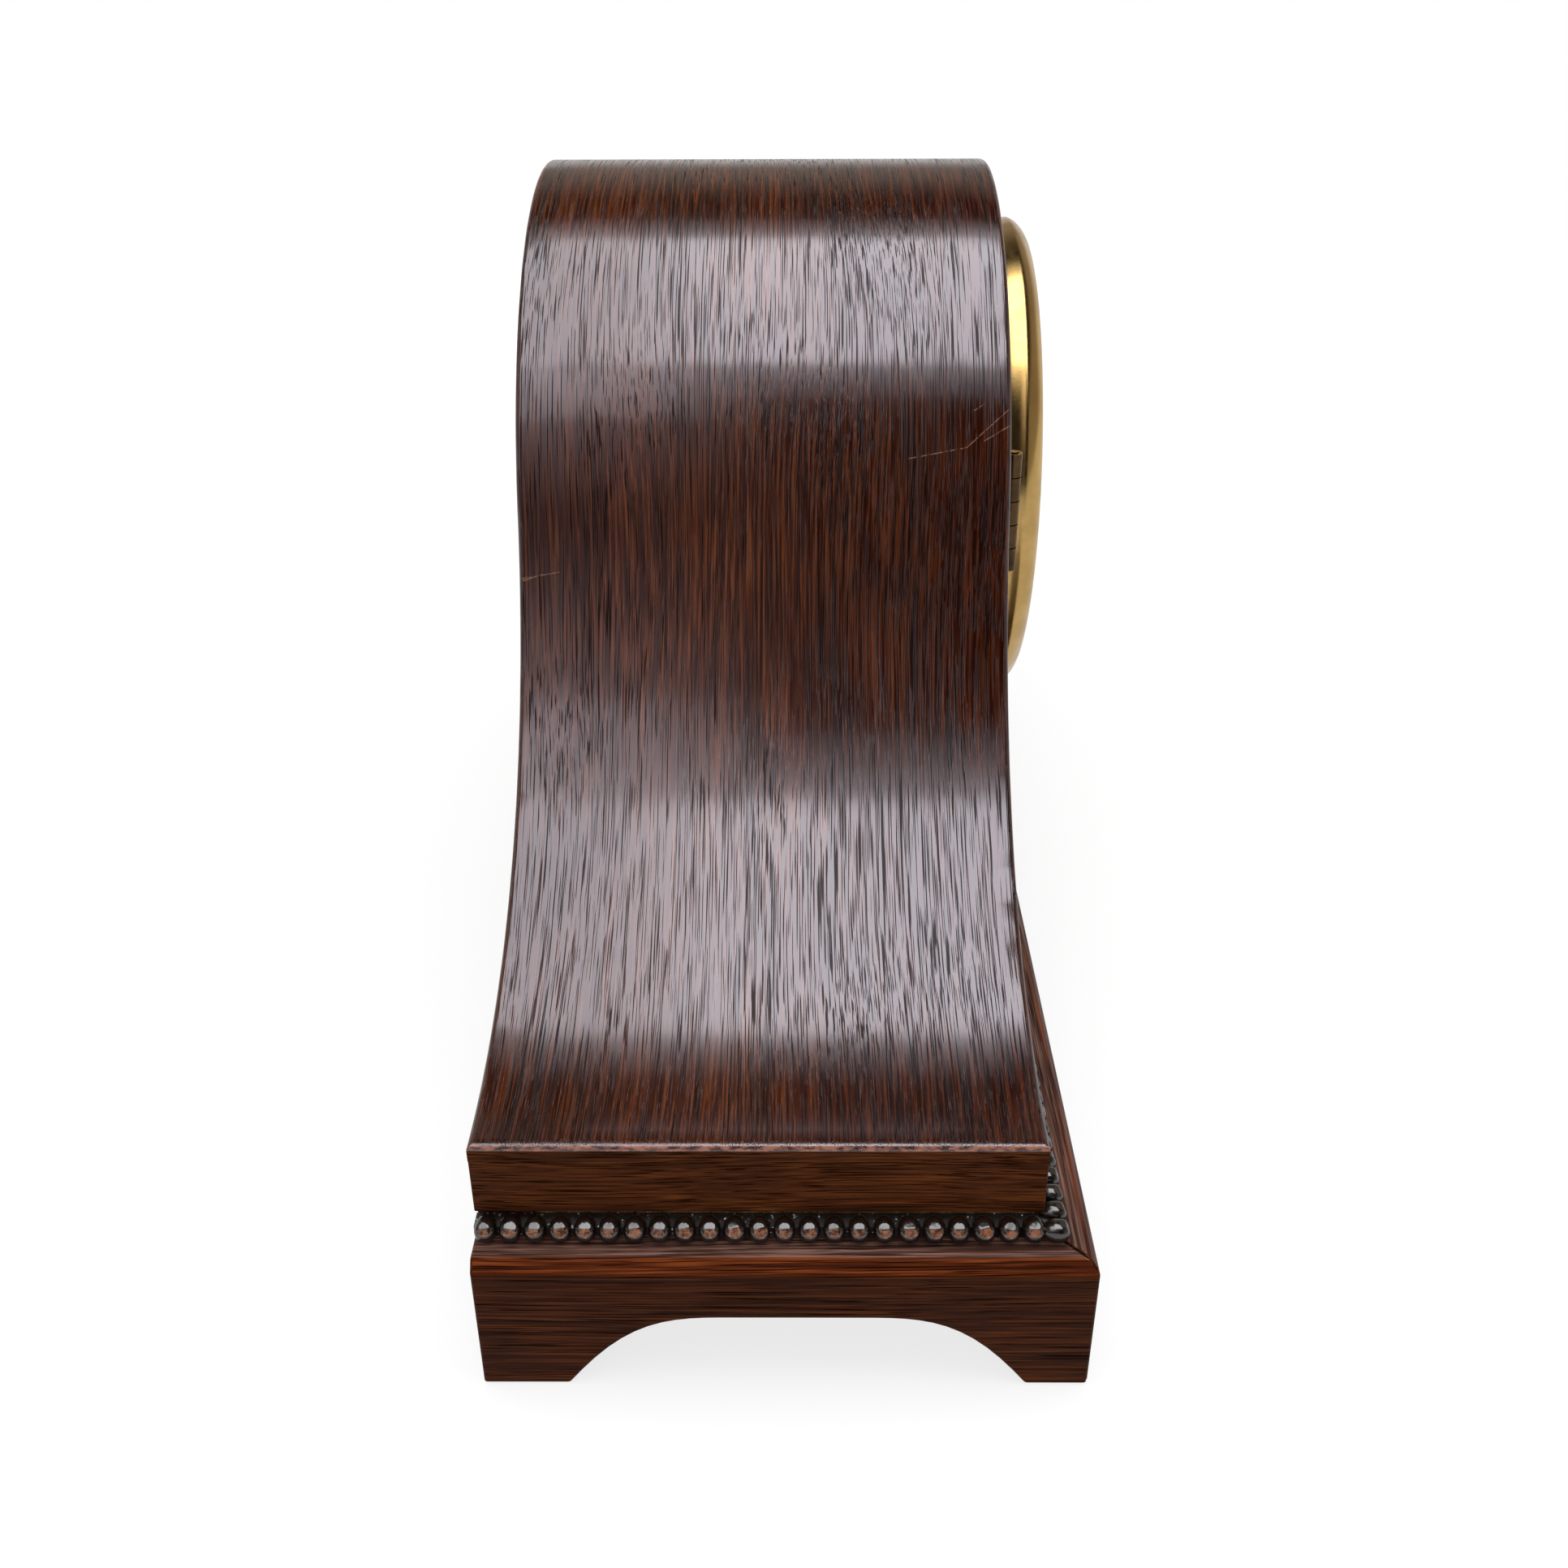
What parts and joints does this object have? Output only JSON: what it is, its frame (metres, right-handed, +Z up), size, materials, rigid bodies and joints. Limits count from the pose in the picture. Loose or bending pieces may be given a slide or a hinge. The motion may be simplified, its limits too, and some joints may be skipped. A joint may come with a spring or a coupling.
{
  "type": "napoleon hat mantel clock",
  "caption": "Napoleon hat mantel clock: bent oak case on a beaded, arched plinth, hinged brass bezel, pendulum movement with gong, and a rear door.",
  "frame": {"origin": "on the table under the middle of the clock, at the centre of its box", "axes": "+Z up, +X along the length to the right seen from the front, -Y towards the dial"},
  "size_m": [0.4238, 0.1344, 0.208],
  "materials": {
    "oak_veneer": "stained, glossy varnish",
    "oak_panel": "stained, varnished",
    "end_oak": "stained, satin",
    "plinth_oak": "stained, varnished",
    "bead_wood": "dark stained, varnished",
    "back_wood": "stained, satin",
    "raw_wood": "unfinished",
    "bezel_brass": "polished",
    "hinge_brass": "aged",
    "glass": "clear",
    "dial_silver": "silvered, satin",
    "hand_black": "blued",
    "movement_brass": "brushed",
    "movement_steel": "brushed",
    "spring_steel": "polished",
    "gong_iron": "painted"
  },
  "bodies": {
    "case": {"top_skin": "oak_veneer", "front_panel": "oak_panel", "back_panel": "back_wood", "end_blocks": "end_oak", "case_floor": "raw_wood", "plinth_board": "raw_wood", "front_rail": "plinth_oak", "left_rail": "plinth_oak", "right_rail": "plinth_oak", "back_rail": "plinth_oak", "front_bead_strip": "bead_wood", "end_bead_strips": "bead_wood", "plinth_screws": "movement_steel", "dial_surround": "hinge_brass", "dial_plate": "dial_silver", "brass_screws": "hinge_brass", "bezel_hinge_fixed_leaf": "hinge_brass", "hinge_pins": "hinge_brass", "rear_hinge_fixed_leaves": "hinge_brass", "front_plate": "movement_brass", "back_plate": "movement_brass", "plate_pillars": "movement_brass", "pillar_nuts": "movement_steel", "movement_straps": "movement_steel", "mounting_screws": "movement_steel", "pendulum_cock": "movement_brass", "gong_block": "gong_iron", "gong_rods": "movement_steel"},
    "bezel": {"bezel_ring": "bezel_brass", "bezel_glass": "glass", "glass_retaining_ring": "bezel_brass", "bezel_hinge_moving_leaf": "hinge_brass"},
    "back_door": {"rear_door": "back_wood", "rear_hinge_door_leaves": "hinge_brass"},
    "door_button": {"turn_button": "hinge_brass"},
    "minute_group": {"minute_hand": "hand_black", "hand_nut": "movement_brass", "cannon_pinion": "movement_steel"},
    "hour_group": {"hour_hand": "hand_black", "hour_wheel": "movement_brass"},
    "minute_wheel_body": {"minute_wheel": "movement_brass"},
    "time_barrel_body": {"time_barrel": "movement_brass"},
    "time_winder": {"time_winding_arbor": "movement_steel"},
    "time_click_body": {"time_click": "movement_steel"},
    "center_body": {"center_wheel": "movement_brass"},
    "third_body": {"third_wheel": "movement_brass"},
    "escape_body": {"escape_wheel": "movement_brass"},
    "anchor_body": {"anchor": "movement_steel"},
    "pendulum": {"pendulum_rod": "movement_steel", "suspension_spring": "spring_steel"},
    "bob": {"pendulum_bob": "movement_brass"},
    "rating_nut_body": {"rating_nut": "movement_brass"},
    "strike_barrel_body": {"strike_barrel": "movement_brass"},
    "strike_winder": {"strike_winding_arbor": "movement_steel"},
    "strike_click_body": {"strike_click": "movement_steel"},
    "pin_body": {"pin_wheel": "movement_brass"},
    "warning_body": {"warning_wheel": "movement_brass"},
    "fly_body": {"strike_fly": "movement_brass"},
    "front_hammer_body": {"front_hammer": "movement_steel"},
    "rear_hammer_body": {"rear_hammer": "movement_steel"}
  },
  "joints": [
    {"name": "bezel_opens", "type": "hinge", "parent": "case", "child": "bezel", "pos_m": [-0.0663, -0.05445, 0.1375], "axis": [0, 0, -1], "range_deg": [0, 110]},
    {"name": "door_opens", "type": "hinge", "parent": "case", "child": "back_door", "pos_m": [-0.06, 0.06525, 0.09], "axis": [0, 0, 1], "range_deg": [0, 110]},
    {"name": "button_turns", "type": "hinge", "parent": "case", "child": "door_button", "pos_m": [0.067, 0.06435, 0.102], "axis": [0, 1, 0], "range_deg": [-90, 90]},
    {"name": "minute_turns", "type": "hinge", "parent": "case", "child": "minute_group", "pos_m": [0, -0.05195, 0.1295], "axis": [0, 1, 0], "continuous": true},
    {"name": "minute_wheel_turns", "type": "hinge", "parent": "case", "child": "minute_wheel_body", "pos_m": [0, -0.04295, 0.1175], "axis": [0, 1, 0], "continuous": true},
    {"name": "hour_turns", "type": "hinge", "parent": "case", "child": "hour_group", "pos_m": [0, -0.05195, 0.1295], "axis": [0, 1, 0], "continuous": true},
    {"name": "escape_turns", "type": "hinge", "parent": "case", "child": "escape_body", "pos_m": [0, -0.02395, 0.15815], "axis": [0, 1, 0], "continuous": true},
    {"name": "third_turns", "type": "hinge", "parent": "case", "child": "third_body", "pos_m": [0.0095, -0.02395, 0.14502], "axis": [0, 1, 0], "continuous": true},
    {"name": "center_turns", "type": "hinge", "parent": "case", "child": "center_body", "pos_m": [0, -0.02395, 0.1295], "axis": [0, 1, 0], "continuous": true},
    {"name": "time_barrel_turns", "type": "hinge", "parent": "case", "child": "time_barrel_body", "pos_m": [0.022, -0.02395, 0.11872], "axis": [0, 1, 0], "continuous": true},
    {"name": "time_winds", "type": "hinge", "parent": "case", "child": "time_winder", "pos_m": [0.022, -0.02395, 0.11872], "axis": [0, 1, 0], "continuous": true},
    {"name": "strike_winds", "type": "hinge", "parent": "case", "child": "strike_winder", "pos_m": [-0.022, -0.02395, 0.11872], "axis": [0, 1, 0], "continuous": true},
    {"name": "time_click_lifts", "type": "hinge", "parent": "case", "child": "time_click_body", "pos_m": [0.028, -0.04295, 0.13072], "axis": [0, 1, 0], "range_deg": [0, 12], "stiffness_Nm_per_rad": 0.0002, "springref_deg": -8.59},
    {"name": "strike_click_lifts", "type": "hinge", "parent": "case", "child": "strike_click_body", "pos_m": [-0.028, -0.04295, 0.13072], "axis": [0, -1, 0], "range_deg": [0, 12], "stiffness_Nm_per_rad": 0.0002, "springref_deg": -8.59},
    {"name": "pendulum_swings", "type": "hinge", "parent": "case", "child": "pendulum", "pos_m": [0, 0.00955, 0.16976], "axis": [0, 1, 0], "range_deg": [-3, 3]},
    {"name": "anchor_rocks", "type": "hinge", "parent": "case", "child": "anchor_body", "pos_m": [0, -0.02395, 0.16976], "axis": [0, 1, 0], "range_deg": [-3, 3]},
    {"name": "bob_slides", "type": "slide", "parent": "pendulum", "child": "bob", "axis": [0, 0, 1], "range_m": [-0.003, 0.003]},
    {"name": "rating_nut_turns", "type": "hinge", "parent": "bob", "child": "rating_nut_body", "pos_m": [0, 0.00955, 0.06206], "axis": [0, 0, 1], "range_deg": [-2160, 2160]},
    {"name": "fly_turns", "type": "hinge", "parent": "case", "child": "fly_body", "pos_m": [-0.027, -0.02395, 0.16065], "axis": [0, 1, 0], "continuous": true},
    {"name": "warning_turns", "type": "hinge", "parent": "case", "child": "warning_body", "pos_m": [-0.022, -0.02395, 0.15062], "axis": [0, 1, 0], "continuous": true},
    {"name": "pin_wheel_turns", "type": "hinge", "parent": "case", "child": "pin_body", "pos_m": [-0.031, -0.02395, 0.14097], "axis": [0, 1, 0], "continuous": true},
    {"name": "strike_barrel_turns", "type": "hinge", "parent": "case", "child": "strike_barrel_body", "pos_m": [-0.022, -0.02395, 0.11872], "axis": [0, 1, 0], "continuous": true},
    {"name": "front_hammer_lifts", "type": "hinge", "parent": "case", "child": "front_hammer_body", "pos_m": [-0.044, 0.01855, 0.1035], "axis": [0, 1, 0], "range_deg": [0, 12], "stiffness_Nm_per_rad": 0.002, "springref_deg": -17.19},
    {"name": "rear_hammer_lifts", "type": "hinge", "parent": "case", "child": "rear_hammer_body", "pos_m": [-0.044, 0.02655, 0.1035], "axis": [0, 1, 0], "range_deg": [0, 12], "stiffness_Nm_per_rad": 0.002, "springref_deg": -17.19}
  ],
  "couplings": [
    {"joint": "minute_wheel_turns", "follows": "minute_turns", "ratio": -0.33333},
    {"joint": "hour_turns", "follows": "minute_turns", "ratio": 0.083333},
    {"joint": "third_turns", "follows": "escape_turns", "ratio": -0.08},
    {"joint": "center_turns", "follows": "escape_turns", "ratio": 0.0066667},
    {"joint": "time_barrel_turns", "follows": "escape_turns", "ratio": -0.0011111},
    {"joint": "anchor_rocks", "follows": "pendulum_swings", "ratio": 1},
    {"joint": "rating_nut_turns", "follows": "bob_slides", "rad_per_m": 12566},
    {"joint": "warning_turns", "follows": "fly_turns", "ratio": -0.12},
    {"joint": "pin_wheel_turns", "follows": "fly_turns", "ratio": 0.012},
    {"joint": "strike_barrel_turns", "follows": "fly_turns", "ratio": -0.0017143}
  ]
}
